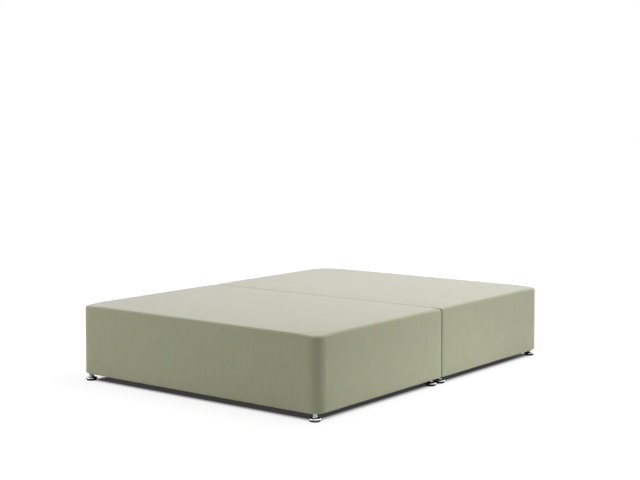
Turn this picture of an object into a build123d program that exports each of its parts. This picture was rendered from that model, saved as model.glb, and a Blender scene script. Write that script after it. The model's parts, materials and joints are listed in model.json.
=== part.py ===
from build123d import *
from math import sqrt
import os

# Divan bed base in two halves on chrome glides, in millimetres.
# The origin is on the floor under the middle of the base. X runs across the width, Y from the
# foot end to the head end and Z up. The two halves meet at Y = 0.

os.makedirs("parts", exist_ok=True)

# Whole base
base_width = 1500
base_length = 2000
body_height = 345
floor_clearance = 36
split_gap = 0.4
touch_gap = 0.3
turning_gap = 0.05
overrun = 10

# Upholstery
corner_radius = 56
top_edge_radius = 12
split_ease = 1
bottom_edge_radius = 9
fabric = 1.5
side_wadding = 8
top_wadding = 12
return_width = 58
dust_cloth = 0.8
dust_inset = 16

# Boards and timbers
board = 3
board_lift = 3
rail_thickness = 21
rail_depth = 45
post_shoulder = 16
split_post = 45
stile_width = 45
stile_share = 1 / 3
joist_count = 5
joist_thickness = 21
housing_depth = 7

# Glides and the nuts that they screw into
glide_side_inset = 40
glide_end_inset = 32
glide_split_inset = 41
pad_radius = 24.5
pad_height = 6.5
pad_plug_radius = 21
pad_plug_height = 3.5
cap_radius = 28.7
rim_height = 9.5
rim_bevel = 2.5
dome_rise = 3
neck_radius = 11
neck_flare = 2.5
glide_thread_radius = 5
glide_thread_length = 28
nut_flange_radius = 10.5
nut_flange = 1.5
nut_wall = 1.2
nut_barrel = 12.5
nut_fit = 0.1
thread_hole_depth = 32
cloth_hole_radius = 12.5

# Headboard nuts, placed in from the sides and down from the top rail
headboard_inset = 215
headboard_nut_drop = 30
headboard_nut_pitch = 120
headboard_thread_radius = 4
headboard_barrel = 11
headboard_flange_radius = 10
headboard_hole_radius = 5

# Link bars, their bolts and the studs that they hook on to
link_spread = 800
link_inset = 35
bar_width = 28
bar_thickness = 3
hook_clearance = 0.4
bolt_thread_radius = 4
bolt_thread_length = 34
shoulder_radius = 5
bolt_flange_radius = 9
bolt_flange = 1.5
bolt_head = 4
bolt_head_chamfer = 1
socket_radius = 3.4
socket_depth = 2.4
stud_drop = 9
stud_chamfer = 1

# Staples
staple_crown = 12
staple_leg = 9
staple_wire = 1.2
staple_flat = 0.6
staple_inset = 24
staple_pitch = 118

# Levels, counted up from the floor
underside = floor_clearance
top_level = underside + body_height
timber_bottom = underside + fabric
board_top = top_level - fabric - top_wadding
timber_top = board_top - board
rail_top = timber_bottom + rail_depth
top_rail_bottom = timber_top - rail_depth
dust_bottom = underside - dust_cloth
bolt_flange_bottom = dust_bottom - bolt_flange
bar_top = bolt_flange_bottom - touch_gap
bar_bottom = bar_top - bar_thickness
bolt_head_top = bar_bottom - touch_gap
glide_shoulder = underside - touch_gap

# Lines in plan, on the half that lies on the +Y side of the split
half_width = base_width / 2
half_length = base_length / 2
split_face = split_gap / 2
board_inset = fabric + side_wadding
timber_inset = board_inset + board
split_corner_radius = top_edge_radius + split_ease
end_post = corner_radius - timber_inset + post_shoulder
board_side = half_width - board_inset
board_end = half_length - board_inset
board_split = split_face + board_inset
timber_side = half_width - timber_inset
timber_end = half_length - timber_inset
timber_split = split_face + timber_inset
side_rail_start = timber_split + split_post
side_rail_end = timber_end - end_post
end_rail_side = timber_side - end_post
split_rail_side = timber_side - split_post
middle_line = (timber_split + timber_end) / 2
headboard_x = half_width - headboard_inset
upper_nut = top_rail_bottom - headboard_nut_drop
headboard_levels = (upper_nut - headboard_nut_pitch, upper_nut)
headboard_spots = [(side * headboard_x, level) for side in (-1, 1) for level in headboard_levels]
link_x = link_spread / 2
link_y = split_face + link_inset
link_reach = 2 * link_y
link_spots = [(-link_x, link_y), (link_x, link_y)]
hook_side = shoulder_radius + hook_clearance
hook_travel = link_reach - sqrt(link_reach**2 - (bar_width / 2) ** 2)
joist_lines = [
    timber_side * (2 * step - joist_count + 1) / joist_count for step in range(joist_count)
]
glide_x = half_width - glide_side_inset
glide_spots = {
    "end_right": (glide_x, half_length - glide_end_inset),
    "end_left": (-glide_x, half_length - glide_end_inset),
    "split_right": (glide_x, split_face + glide_split_inset),
    "split_left": (-glide_x, split_face + glide_split_inset),
}


def keep(shape, half, name):
    """Label a piece and write it. The foot half is the head half mirrored at the split."""
    if half == "foot":
        shape = mirror(shape, about=Plane.XZ, mode=Mode.PRIVATE)
    shape.label = f"{half}_{name}"
    export_step(shape, f"parts/{shape.label}.step")


def timber(x_ends, y_ends, z_ends):
    """A squared piece between three pairs of faces, added to the part that is being built."""
    middle = [(low + high) / 2 for low, high in (x_ends, y_ends, z_ends)]
    with Locations(tuple(middle)):
        Box(*[high - low for low, high in (x_ends, y_ends, z_ends)])


def cut_block(x_ends, y_ends, z_ends):
    """A squared block by itself, to cut with."""
    with BuildPart() as block:
        timber(x_ends, y_ends, z_ends)
    return block.part


def half_plan(inset, inner_corner):
    """The outline of one half in plan, set in from its outer faces."""
    x = half_width - inset
    y_end = half_length - inset
    y_split = split_face + inset
    outer_corner = max(corner_radius - inset, 0)
    corners = [(x, y_split), (x, y_end), (-x, y_end), (-x, y_split)]
    radii = [inner_corner, outer_corner, outer_corner, inner_corner]
    with BuildSketch() as plan:
        with BuildLine():
            FilletPolyline(*corners, radius=radii, close=True)
        make_face()
    return plan.sketch


def padded_block(inset):
    """The rounded body of one half, set in from its outer surface."""
    with BuildPart() as block:
        with BuildSketch(Plane.XY.offset(underside + inset)):
            add(half_plan(inset, split_corner_radius - inset))
        extrude(amount=body_height - 2 * inset)
        fillet(block.faces().sort_by(Axis.Z)[-1].edges(), top_edge_radius - inset)
        fillet(block.faces().sort_by(Axis.Z)[0].edges(), bottom_edge_radius - inset)
    return block.part


def square_block(inset, z_low, z_high):
    """One half's plan, set in, with square corners at the split, between two levels."""
    with BuildPart() as block:
        with BuildSketch(Plane.XY.offset(z_low)):
            add(half_plan(inset, 0))
        extrude(amount=z_high - z_low)
    return block.part


def underside_holes(half, z_low, z_high):
    """The holes of the glides and of the link bolts or studs, between two levels."""
    link_hole = shoulder_radius + touch_gap if half == "head" else bolt_thread_radius + touch_gap
    with BuildPart() as holes:
        with BuildSketch(Plane.XY.offset(z_low)):
            with Locations(*glide_spots.values()):
                Circle(cloth_hole_radius)
            with Locations(*link_spots):
                Circle(link_hole)
        extrude(amount=z_high - z_low)
    return holes.part


def headboard_holes(y_low, y_high, radius=headboard_hole_radius):
    """The four headboard bolt holes through the head end, between two faces."""
    with BuildPart() as holes:
        with BuildSketch(Plane.XZ.offset(-y_low)):
            with Locations(*headboard_spots):
                Circle(radius)
        extrude(amount=y_low - y_high)
    return holes.part


def turned(x, y, points, level=0):
    """A solid turned about a vertical axis from an outline of radii and heights."""
    with BuildPart() as piece:
        with BuildSketch(Plane((x, y, level), x_dir=(1, 0, 0), z_dir=(0, -1, 0))):
            with BuildLine():
                Polyline(*points, close=True)
            make_face()
        revolve(axis=Axis((x, y, level), (0, 0, 1)))
    return piece.part


def build_upholstery(half):
    """The fabric cover with its return underneath, the wadding and the dust cover.

    The border wadding is four strips, butted together where the sides become straight.
    """
    with BuildPart() as cover:
        add(padded_block(0))
        add(padded_block(fabric), mode=Mode.SUBTRACT)
        with BuildSketch(Plane.XY.offset(underside - overrun)):
            add(half_plan(return_width, 0))
        extrude(amount=fabric + 2 * overrun, mode=Mode.SUBTRACT)
        add(underside_holes(half, underside - overrun, timber_bottom + overrun), mode=Mode.SUBTRACT)
        if half == "head":
            add(headboard_holes(board_end, half_length + overrun), mode=Mode.SUBTRACT)
    keep(cover.part, half, "cover")

    with BuildPart() as top_pad:
        add(padded_block(fabric))
        split(bisect_by=Plane.XY.offset(board_top), keep=Keep.TOP)
    keep(top_pad.part, half, "top_pad")

    with BuildPart() as border_wadding:
        add(padded_block(fabric))
        split(bisect_by=Plane.XY.offset(board_top), keep=Keep.BOTTOM)
        add(square_block(board_inset, underside, top_level), mode=Mode.SUBTRACT)
        for y in (split_face + split_corner_radius, half_length - corner_radius):
            y_ends = (y, y + touch_gap)
            x_ends = (-half_width, half_width)
            add(cut_block(x_ends, y_ends, (underside, top_level)), mode=Mode.SUBTRACT)
        if half == "head":
            add(headboard_holes(board_end - overrun, half_length), mode=Mode.SUBTRACT)
    keep(border_wadding.part, half, "border_wadding")

    with BuildPart() as dust_cover:
        with BuildSketch(Plane.XY.offset(dust_bottom)):
            add(half_plan(dust_inset, 0))
        extrude(amount=dust_cloth)
        add(underside_holes(half, dust_bottom - overrun, underside + overrun), mode=Mode.SUBTRACT)
    keep(dust_cover.part, half, "dust_cover")


def build_boards(half):
    """The hardboard platform on top and the boards round the four sides."""
    keep(square_block(board_inset, timber_top, board_top), half, "top_board")

    levels = (timber_bottom + board_lift, timber_top)
    with BuildPart() as side_boards:
        for x_ends in ((timber_side, board_side), (-board_side, -timber_side)):
            timber(x_ends, (timber_split, half_length - corner_radius), levels)
    keep(side_boards.part, half, "side_boards")

    with BuildPart() as end_boards:
        flat = half_width - corner_radius
        timber((-flat, flat), (timber_end, board_end), levels)
        timber((-board_side, board_side), (board_split, timber_split), levels)
        if half == "head":
            add(headboard_holes(timber_end - overrun, half_length), mode=Mode.SUBTRACT)
    keep(end_boards.part, half, "end_boards")


def rounded_post():
    """An end corner post: its rounded corner stands out past the timbers by a board's thickness."""
    x_in, y_in = timber_side - end_post, timber_end - end_post
    x_turn, y_turn = half_width - corner_radius, half_length - corner_radius
    with BuildPart() as post:
        with BuildSketch(Plane.XY.offset(timber_bottom)):
            with BuildLine():
                Polyline(
                    (x_turn, board_end),
                    (x_turn, timber_end),
                    (x_in, timber_end),
                    (x_in, y_in),
                    (timber_side, y_in),
                    (timber_side, y_turn),
                    (board_side, y_turn),
                )
                CenterArc((x_turn, y_turn), corner_radius - board_inset, 0, 90)
            make_face()
        extrude(amount=timber_top - timber_bottom)
    return post.part


def build_posts(half):
    """The four corner posts, bored from below for the glides' nuts and threads."""
    with BuildPart() as posts:
        add(rounded_post())
        levels = (timber_bottom, timber_top)
        timber((split_rail_side, timber_side), (timber_split, side_rail_start), levels)
        mirror(about=Plane.YZ)
        for x, y in glide_spots.values():
            with BuildSketch(Plane((x, y, timber_bottom))):
                Circle(glide_thread_radius + turning_gap + nut_wall + nut_fit)
            extrude(amount=thread_hole_depth, mode=Mode.SUBTRACT)
    keep(posts.part, half, "corner_posts")


def build_bottom_rails(half):
    """The rails that lie on the underside: end, link and cross rail."""
    levels = (timber_bottom, rail_top)
    with BuildPart() as end_rail:
        timber((-end_rail_side, end_rail_side), (timber_end - rail_thickness, timber_end), levels)
    keep(end_rail.part, half, "bottom_end_rail")

    with BuildPart() as link_rail:
        timber((-split_rail_side, split_rail_side), (timber_split, side_rail_start), levels)
        for x, y in link_spots:
            with BuildSketch(Plane((x, y, timber_bottom))):
                Circle(bolt_thread_radius + turning_gap)
            extrude(amount=bolt_thread_length + turning_gap, mode=Mode.SUBTRACT)
    keep(link_rail.part, half, "bottom_link_rail")

    with BuildPart() as cross_rail:
        x_ends = (-stile_width / 2, stile_width / 2)
        y_ends = (side_rail_start, timber_end - rail_thickness)
        timber(x_ends, y_ends, (timber_bottom, timber_bottom + rail_thickness))
    keep(cross_rail.part, half, "bottom_cross_rail")


def build_side_rails(half):
    """Four like rails along the long sides, two at the bottom and two at the top."""
    with BuildPart() as side_rails:
        for side in (-1, 1):
            x_ends = sorted((side * timber_side, side * (timber_side - rail_thickness)))
            for z_ends in ((timber_bottom, rail_top), (top_rail_bottom, timber_top)):
                timber(x_ends, (side_rail_start, side_rail_end), z_ends)
    keep(side_rails.part, half, "side_rails")


def build_platform_frame(half):
    """The top end rails with housings for the joists, the joists and their bearer."""
    y_ends = (
        timber_split + rail_thickness - housing_depth,
        timber_end - rail_thickness + housing_depth,
    )
    with BuildPart() as joists:
        for x in joist_lines:
            x_ends = (x - joist_thickness / 2, x + joist_thickness / 2)
            timber(x_ends, y_ends, (top_rail_bottom, timber_top))
    keep(joists.part, half, "joists")

    with BuildPart() as top_end_rail:
        y_ends = (timber_end - rail_thickness, timber_end)
        timber((-end_rail_side, end_rail_side), y_ends, (top_rail_bottom, timber_top))
        add(joists.part, mode=Mode.SUBTRACT)
    keep(top_end_rail.part, half, "top_end_rail")

    with BuildPart() as top_link_rail:
        y_ends = (timber_split, timber_split + rail_thickness)
        timber((-split_rail_side, split_rail_side), y_ends, (top_rail_bottom, timber_top))
        add(joists.part, mode=Mode.SUBTRACT)
    keep(top_link_rail.part, half, "top_link_rail")

    with BuildPart() as centre_bearer:
        x = timber_side - rail_thickness
        y_ends = (middle_line - rail_thickness / 2, middle_line + rail_thickness / 2)
        timber((-x, x), y_ends, (top_rail_bottom - rail_depth, top_rail_bottom))
    keep(centre_bearer.part, half, "centre_bearer")


def build_stiles(half):
    """Uprights between the bottom and top rails: on the sides, at the end and at the split."""
    levels = (rail_top, top_rail_bottom)
    with BuildPart() as stiles:
        for side in (-1, 1):
            x_ends = sorted((side * timber_side, side * (timber_side - rail_thickness)))
            timber(x_ends, (middle_line - stile_width / 2, middle_line + stile_width / 2), levels)
            x = side * headboard_x
            y_ends = (timber_end - rail_thickness, timber_end)
            timber((x - stile_width / 2, x + stile_width / 2), y_ends, levels)
            x = side * split_rail_side * stile_share
            y_ends = (timber_split, timber_split + rail_thickness)
            timber((x - stile_width / 2, x + stile_width / 2), y_ends, levels)
        if half == "head":
            hole = headboard_thread_radius + nut_wall + nut_fit
            inner_face = timber_end - rail_thickness
            add(headboard_holes(inner_face - overrun, half_length, hole), mode=Mode.SUBTRACT)
    keep(stiles.part, half, "stiles")


def build_nuts(half):
    """The threaded inserts that the glides and, at the head end, a headboard's bolts screw into."""
    bore = glide_thread_radius + turning_gap
    nut = [
        (bore, 0),
        (nut_flange_radius, 0),
        (nut_flange_radius, nut_flange),
        (bore + nut_wall, nut_flange),
        (bore + nut_wall, nut_flange + nut_barrel),
        (bore, nut_flange + nut_barrel),
    ]
    with BuildPart() as nuts:
        for x, y in glide_spots.values():
            add(turned(x, y, nut, timber_bottom - nut_flange))
    keep(nuts.part, half, "glide_nuts")

    if half == "head":
        inner_face = timber_end - rail_thickness
        with BuildPart() as headboard_nuts:
            for x, level in headboard_spots:
                with BuildSketch(Plane((x, inner_face, level), x_dir=(1, 0, 0), z_dir=(0, 1, 0))):
                    Circle(headboard_flange_radius)
                extrude(amount=-nut_flange)
                with BuildSketch(Plane((x, inner_face, level), x_dir=(1, 0, 0), z_dir=(0, 1, 0))):
                    Circle(headboard_thread_radius + nut_wall)
                extrude(amount=headboard_barrel)
            bores = headboard_holes(inner_face - overrun, half_length, headboard_thread_radius)
            add(bores, mode=Mode.SUBTRACT)
        keep(headboard_nuts.part, half, "headboard_nuts")


def build_staples(half):
    """Wire staples through the dust cover and the cover's return into the bottom rails."""
    low = dust_bottom - staple_flat
    y_run = side_rail_end - side_rail_start
    end_run = 2 * end_rail_side
    split_run = 2 * split_rail_side
    runs = [
        (half_width - staple_inset, (side_rail_start + side_rail_end) / 2, y_run, 90),
        (staple_inset - half_width, (side_rail_start + side_rail_end) / 2, y_run, 90),
        (0, half_length - staple_inset, end_run, 0),
        (0, split_face + staple_inset, split_run, 0),
    ]
    with BuildPart() as staples:
        for x, y, run, turn in runs:
            count = int(run // staple_pitch)
            with Locations(Location((x, y, low), turn)):
                with GridLocations(run / count, run, count, 1):
                    with Locations((0, 0, staple_flat / 2)):
                        Box(staple_crown, staple_wire, staple_flat)
                    leg_x = (staple_crown - staple_flat) / 2
                    with Locations((-leg_x, 0, staple_leg / 2), (leg_x, 0, staple_leg / 2)):
                        Box(staple_flat, staple_wire, staple_leg)
    keep(staples.part, half, "staples")


def build_glides(half):
    """A chrome cap with its neck and thread on a dark pad, under each corner of a half."""
    rim_top = pad_height + rim_height
    neck_foot = rim_top + dome_rise
    thread_top = glide_shoulder + glide_thread_length
    recess = pad_height + pad_plug_height
    cap = [
        (0, recess),
        (pad_plug_radius, recess),
        (pad_plug_radius, pad_height),
        (cap_radius - rim_bevel, pad_height),
        (cap_radius, pad_height + rim_bevel),
        (cap_radius, rim_top - rim_bevel),
        (cap_radius - rim_bevel, rim_top),
        (neck_radius + neck_flare, neck_foot),
        (neck_radius, neck_foot + neck_flare),
        (neck_radius, glide_shoulder),
        (glide_thread_radius, glide_shoulder),
        (glide_thread_radius, thread_top),
        (0, thread_top),
    ]
    pad = [
        (0, 0),
        (pad_radius, 0),
        (pad_radius, pad_height),
        (pad_plug_radius, pad_height),
        (pad_plug_radius, recess),
        (0, recess),
    ]
    for place, (x, y) in glide_spots.items():
        keep(turned(x, y, cap), half, f"glide_{place}")
        keep(turned(x, y, pad), half, f"glide_pad_{place}")


def build_links():
    """The link bars and their bolts under the foot half, and the studs under the head half."""
    thread_top = timber_bottom + bolt_thread_length
    bolt_head_bottom = bolt_head_top - bolt_head
    bolt = [
        (0, bolt_head_bottom),
        (bolt_flange_radius - bolt_head_chamfer, bolt_head_bottom),
        (bolt_flange_radius, bolt_head_bottom + bolt_head_chamfer),
        (bolt_flange_radius, bolt_head_top),
        (shoulder_radius, bolt_head_top),
        (shoulder_radius, bolt_flange_bottom),
        (bolt_flange_radius, bolt_flange_bottom),
        (bolt_flange_radius, dust_bottom),
        (bolt_thread_radius, dust_bottom),
        (bolt_thread_radius, thread_top),
        (0, thread_top),
    ]
    with BuildPart() as bolts:
        for x, y in link_spots:
            add(turned(x, y, bolt))
            with BuildSketch(Plane((x, y, bolt_head_bottom))):
                RegularPolygon(socket_radius, 6)
            extrude(amount=socket_depth, mode=Mode.SUBTRACT)
    keep(bolts.part, "foot", "link_bolts")

    stud_bottom = dust_bottom - stud_drop
    stud = [
        (0, stud_bottom),
        (shoulder_radius - stud_chamfer, stud_bottom),
        (shoulder_radius, stud_bottom + stud_chamfer),
        (shoulder_radius, timber_bottom),
        (bolt_thread_radius, timber_bottom),
        (bolt_thread_radius, thread_top),
        (0, thread_top),
    ]
    with BuildPart() as studs:
        for x, y in link_spots:
            add(turned(x, y, stud))
    keep(studs.part, "head", "link_studs")

    # The right bar is drawn parked, pointing outwards, and the left bar is its mirror image. The
    # hook is a notch from the bar's inner edge. It is wider than the stud by the sideways travel
    # of the stud as the bar swings on to it.
    with BuildPart() as bar:
        with BuildSketch(Plane((link_x, -link_y, bar_bottom))):
            with Locations((link_reach / 2, 0)):
                SlotCenterToCenter(link_reach, bar_width)
            Circle(shoulder_radius + turning_gap, mode=Mode.SUBTRACT)
            with Locations((link_reach + hook_side, -hook_side)):
                notch = (2 * hook_side + hook_travel, hook_side + bar_width)
                Rectangle(*notch, align=(Align.MAX, Align.MIN), mode=Mode.SUBTRACT)
        extrude(amount=bar_thickness)
    bar.part.label = "link_bar_right"
    left_bar = mirror(bar.part, about=Plane.YZ, mode=Mode.PRIVATE)
    left_bar.label = "link_bar_left"
    for shape in (bar.part, left_bar):
        export_step(shape, f"parts/{shape.label}.step")


for half in ("foot", "head"):
    build_upholstery(half)
    build_boards(half)
    build_posts(half)
    build_bottom_rails(half)
    build_side_rails(half)
    build_platform_frame(half)
    build_stiles(half)
    build_nuts(half)
    build_staples(half)
    build_glides(half)
build_links()
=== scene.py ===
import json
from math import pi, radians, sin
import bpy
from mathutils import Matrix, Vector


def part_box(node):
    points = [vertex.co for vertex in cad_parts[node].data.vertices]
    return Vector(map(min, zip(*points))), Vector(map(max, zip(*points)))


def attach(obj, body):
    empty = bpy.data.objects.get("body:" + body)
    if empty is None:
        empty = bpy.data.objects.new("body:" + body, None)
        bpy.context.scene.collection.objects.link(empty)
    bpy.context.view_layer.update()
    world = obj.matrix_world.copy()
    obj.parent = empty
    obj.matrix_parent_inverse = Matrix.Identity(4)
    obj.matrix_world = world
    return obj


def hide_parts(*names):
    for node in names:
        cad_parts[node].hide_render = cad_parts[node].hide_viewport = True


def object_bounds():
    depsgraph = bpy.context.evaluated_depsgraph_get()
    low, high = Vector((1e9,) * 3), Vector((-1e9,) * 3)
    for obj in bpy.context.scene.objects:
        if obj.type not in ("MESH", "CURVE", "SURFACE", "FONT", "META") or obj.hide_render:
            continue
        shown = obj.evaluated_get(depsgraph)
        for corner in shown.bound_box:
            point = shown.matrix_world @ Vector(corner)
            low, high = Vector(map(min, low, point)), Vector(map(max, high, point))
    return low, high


bl_info = {
    "name": "Divan Bed Base",
    "version": (1, 0, 0),
    "blender": (4, 5, 0),
    "location": "View3D > Sidebar > Divan Base",
    "description": "Dresses a divan bed base in two halves with its cover, glides and finishes",
    "category": "Object",
}

import bmesh
import bpy
from bpy.props import FloatProperty, FloatVectorProperty, IntProperty, PointerProperty
from bpy.types import NodeSocket, Operator, Panel, PropertyGroup
from mathutils import Matrix, Vector, noise

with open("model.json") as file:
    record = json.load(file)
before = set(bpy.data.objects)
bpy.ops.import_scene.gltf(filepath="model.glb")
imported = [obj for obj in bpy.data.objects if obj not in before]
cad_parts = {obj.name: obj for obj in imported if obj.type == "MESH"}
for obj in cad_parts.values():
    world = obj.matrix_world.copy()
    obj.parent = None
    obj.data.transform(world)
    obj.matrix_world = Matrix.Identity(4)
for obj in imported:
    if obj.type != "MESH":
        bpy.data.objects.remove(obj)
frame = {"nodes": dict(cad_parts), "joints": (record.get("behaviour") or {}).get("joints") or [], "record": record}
CAD_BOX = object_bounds()

# Everything is in metres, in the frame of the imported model: X across the width, Y from the foot
# end to the head end, Z up from the floor. The halves meet at Y = 0.
HALVES = ("foot", "head")
GLIDES = [
    f"{half}_glide_{place}"
    for half in HALVES
    for place in ("end_right", "end_left", "split_right", "split_left")
]

# What counts as touching, in metres, and as lying along an axis, as a share of the length
TOUCH = 1e-5
FLAT = 0.999
STRAIGHT = 0.99

# Steps round a turned piece and round a hole
TURN_STEPS = 72
HOLE_STEPS = 32

# Angles above which an edge stays sharp, on wadding and on glides
SOFT_CREASE = radians(60)
HARD_CREASE = radians(35)

# How much the swelling of the covers and the sag of the dust covers vary, as shares of their
# depth, and in how many patches per metre
SWELL_CHANGE, SWELL_PATCHES = 0.25, 7
SAG_CHANGE, SAG_PATCHES = 0.3, 5

# Patches per metre of the plush in which its red, green and blue lean a little either way
HUE_PATCHES = ((17.0, (0.028, -0.011, 0.0)), (13.0, (0.003, 0.003, -0.036)))

# Painted shade in the groove of the split on the sides, darker where shade falls there: how it fades along Y from
# the split, how far it reaches in from the sides, and how dark it is
PAINTED_GROOVE_FADE = (0.0005, 0.005)
PAINTED_GROOVE_REACH = (0.02, 0.012)
PAINTED_GROOVE_SHADE = 0.5

# The floor's painted contact shadow, which stays where the base stands at rest: the axis, the middle and the
# margin inside the base of its outline
PAINTED_SHADOW_LINE = ((0, 0, 0.003), (1, 0.012, -0.012))

# The floor's painted glow for the camera, which leaves the painted shadow dark, as two pairs of distance from that
# outline and of strength. The first is the steep edge of the painted shadow, and the second a slow rise on the
# open floor.
PAINTED_SHADOW_EDGE = (-0.054, -0.012, 0.036, 0.87)
OPEN_GLOW = (-0.012, 0.8, 0.0, 0.13)

# How much the camera misses of the floor's own light, so that it sees mostly the painted glow and painted shadow,
# and how much chrome misses of it by the distance in front of the foot half's right corner, a painted dark
# reflection of the floor
CAMERA_LOSS = 0.85
CHROME_PAINTED_DARK = (1.2, 1.6, 0.85, 0.1)

# Where each light hangs and its width and height. Its power is a setting of the stage.
LIGHTS = {
    "Overhead": ((0, 0, 3.6), (4.6, 4.6)),
    "Overhead right": ((1.6, 0.6, 3.4), (3, 3)),
    "Back": ((0.5, 7, 2), (4, 2)),
    "Back right": ((5, 9, 2), (5, 3)),
    "Low right": ((1.18, -0.1, 0.05), (1.7, 0.06)),
    "Low middle": ((1.15, 0.15, 0.05), (0.8, 0.06)),
    "Left": ((-3, -5, 0.5), (3.2, 0.8)),
}


# Settings


def length(name, default, description):
    return FloatProperty(name=name, default=default, description=description, unit="LENGTH")


def angle(name, default, description):
    return FloatProperty(name=name, default=default, description=description, subtype="ANGLE")


def power(name, default, description):
    return FloatProperty(name=name, default=default, description=description, unit="POWER")


def colour(name, default, description):
    return FloatVectorProperty(
        name=name, default=default, description=description, subtype="COLOR", min=0, max=1
    )


class DivanUpholstery(PropertyGroup):
    corner_radius: length("Outer corners", 0.056, "Radius of the four outer corners in plan")
    split_radius: length("Split corners", 0.013, "Radius of the corners beside the split, in plan")
    top_radius: length("Top edge", 0.012, "Radius of the padded edge round the top")
    split_edge: length("Split edge", 0.006, "Radius of the top edge along the split")
    bottom_radius: length("Bottom edge", 0.009, "Radius of the edge round the bottom")
    corner_droop: length("Corner droop", 0.0048, "How far the top sinks at the outer corners")
    droop_reach: length("Droop reach", 0.15, "How far from an outer corner the top sinks")
    droop_depth: length("Droop depth", 0.06, "How far below the top the sides sink with it")
    split_droop: length("Split droop", 0.006, "How far the foot half's right corner sinks")
    split_sink: length("Split sink", 0.0022, "How far the top sinks all along the split")
    split_reach: length("Split reach", 0.04, "How far from that corner the top sinks")
    fabric: length("Fabric", 0.0015, "Thickness of the cover")
    return_width: length("Return", 0.058, "Width of the cover's return underneath")
    side_wadding: length("Side wadding", 0.008, "Thickness of the wadding on the sides")
    ease: length("Ease", 0.0002, "Room between the cover and the wadding in it")
    crown: length("Crown", 0.001, "How far the cover may swell from its flat faces")
    panel_step: length("Panel step", 0.03, "Spacing of the cover's mesh before it is relaxed")
    cloth_pressure: FloatProperty(
        name="Cloth pressure", default=4, description="Pressure of the wadding on the cover"
    )
    cloth_frames: IntProperty(
        name="Cloth frames", default=20, description="Frames for which the cover is relaxed"
    )
    dust_corner: length("Dust cover corner", 0.04, "Radius of the dust cover's outer corners")
    dust_cloth: length("Dust cloth", 0.0008, "Thickness of the cloth underneath")
    dust_sag: length("Dust cover sag", 0.003, "How far the dust cover hangs at its middle")
    glide_hole: length("Glide hole", 0.0125, "Radius of the holes for the glides")
    link_hole: length("Link hole", 0.0053, "Radius of the holes for the link bolts and studs")
    headboard_hole: length("Headboard hole", 0.005, "Radius of the holes for a headboard's bolts")
    wadding_hole: length("Wadding hole", 0.0085, "Radius that is cut away round a headboard hole")
    plush_colour: colour("Plush", (0.455, 0.469, 0.318), "Colour of the cover's pile")
    wadding_colour: colour("Wadding", (0.86, 0.86, 0.83), "Colour of the wadding")
    cloth_colour: colour("Dust cloth", (0.012, 0.012, 0.013), "Colour of the cloth underneath")


class DivanGlides(PropertyGroup):
    pad_radius: length("Pad radius", 0.0245, "Radius of the dark pad on the floor")
    plug_radius: length("Plug radius", 0.021, "Radius of the pad's plug in the cap")
    plug_height: length("Plug height", 0.0035, "Height of the pad's plug")
    pad_edge: length("Pad edge", 0.001, "Radius of the pad's edge on the floor")
    groove_spacing: length("Groove spacing", 0.006, "Spacing of the rings under the pad")
    groove_width: length("Groove width", 0.0012, "Width of a ring under the pad")
    groove_depth: length("Groove depth", 0.0006, "Depth of a ring under the pad")
    rim_height: length("Rim height", 0.0095, "Height of the cap's bright rim")
    rim_round: length("Rim round", 0.0042, "Radius of the rim's edges")
    dome_rise: length("Dome rise", 0.003, "Rise of the cap from its rim to its neck")
    neck_radius: length("Neck radius", 0.011, "Radius of the neck")
    neck_flare: length("Neck flare", 0.0025, "Radius where the neck meets the dome")
    neck_edge: length("Neck edge", 0.0006, "Radius of the neck's top edge")
    thread_radius: length("Thread radius", 0.005, "Outer radius of the thread")
    thread_length: length("Thread length", 0.028, "Length of the thread above the neck")
    chrome_colour: colour("Chrome", (0.62, 0.63, 0.64), "Colour of the chrome plate")
    plastic_colour: colour("Pad", (0.016, 0.016, 0.017), "Colour of the pad")


class DivanTimber(PropertyGroup):
    pine_colour: colour("Pine", (0.60, 0.42, 0.23), "Colour of the sawn pine")
    pine_ring_colour: colour("Pine rings", (0.42, 0.25, 0.11), "Colour of its darker rings")
    board_colour: colour("Hardboard", (0.17, 0.088, 0.042), "Colour of the hardboard")
    zinc_colour: colour("Zinc", (0.50, 0.51, 0.52), "Colour of the zinc plate")


class DivanStage(PropertyGroup):
    camera_place: FloatVectorProperty(
        name="Camera", default=(4.03918, -5.25263, 1.3215), subtype="TRANSLATION", unit="LENGTH",
        description="Where the camera stands",
    )
    camera_turn: angle("Camera turn", radians(37.6145), "Turn of the camera about the upright")
    camera_dip: angle("Camera dip", radians(2.9815), "How far the camera looks down")
    lens: FloatProperty(name="Lens", default=71.104, description="Focal length in millimetres")
    shift: FloatProperty(name="Shift", default=-0.09, description="Upright shift of the lens")
    overhead_power: power("Overhead", 96, "Power of the light overhead")
    overhead_right_power: power("Overhead right", 55, "Power of the one overhead on the right")
    back_power: power("Back", 208, "Power of the light far behind the base")
    back_right_power: power("Back right", 260, "Power of the one far behind on the right")
    low_right_power: power("Low right", 0.44, "Power of the long low light on the right")
    low_middle_power: power("Low middle", 0.18, "Power of the short low one beside the split")
    left_power: power("Left", 89, "Power of the light on the left")
    room_light: FloatProperty(
        name="Room", default=0.076, description="Strength of the light from all round"
    )
    floor_colour: colour("Floor", (0.8, 0.8, 0.8), "Colour of the floor")


# Meshes


def bevel(mesh, geometry, radius, segments, affect="EDGES"):
    """Rounds edges or corners with an even arc."""
    bmesh.ops.bevel(
        mesh, geom=geometry, offset=radius, offset_type="OFFSET", affect=affect,
        segments=segments, profile=0.5, material=-1,
    )


def edges_along(mesh, axis):
    """The edges that run along one axis."""
    found = []
    for edge in mesh.edges:
        run = edge.verts[1].co - edge.verts[0].co
        if abs(run[axis]) > STRAIGHT * run.length:
            found.append(edge)
    return found


def edges_at(mesh, axis, level, edges=None):
    """The edges that lie in one plane across an axis."""
    return [
        edge
        for edge in (edges or mesh.edges)
        if all(abs(vert.co[axis] - level) < TOUCH for vert in edge.verts)
    ]


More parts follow.
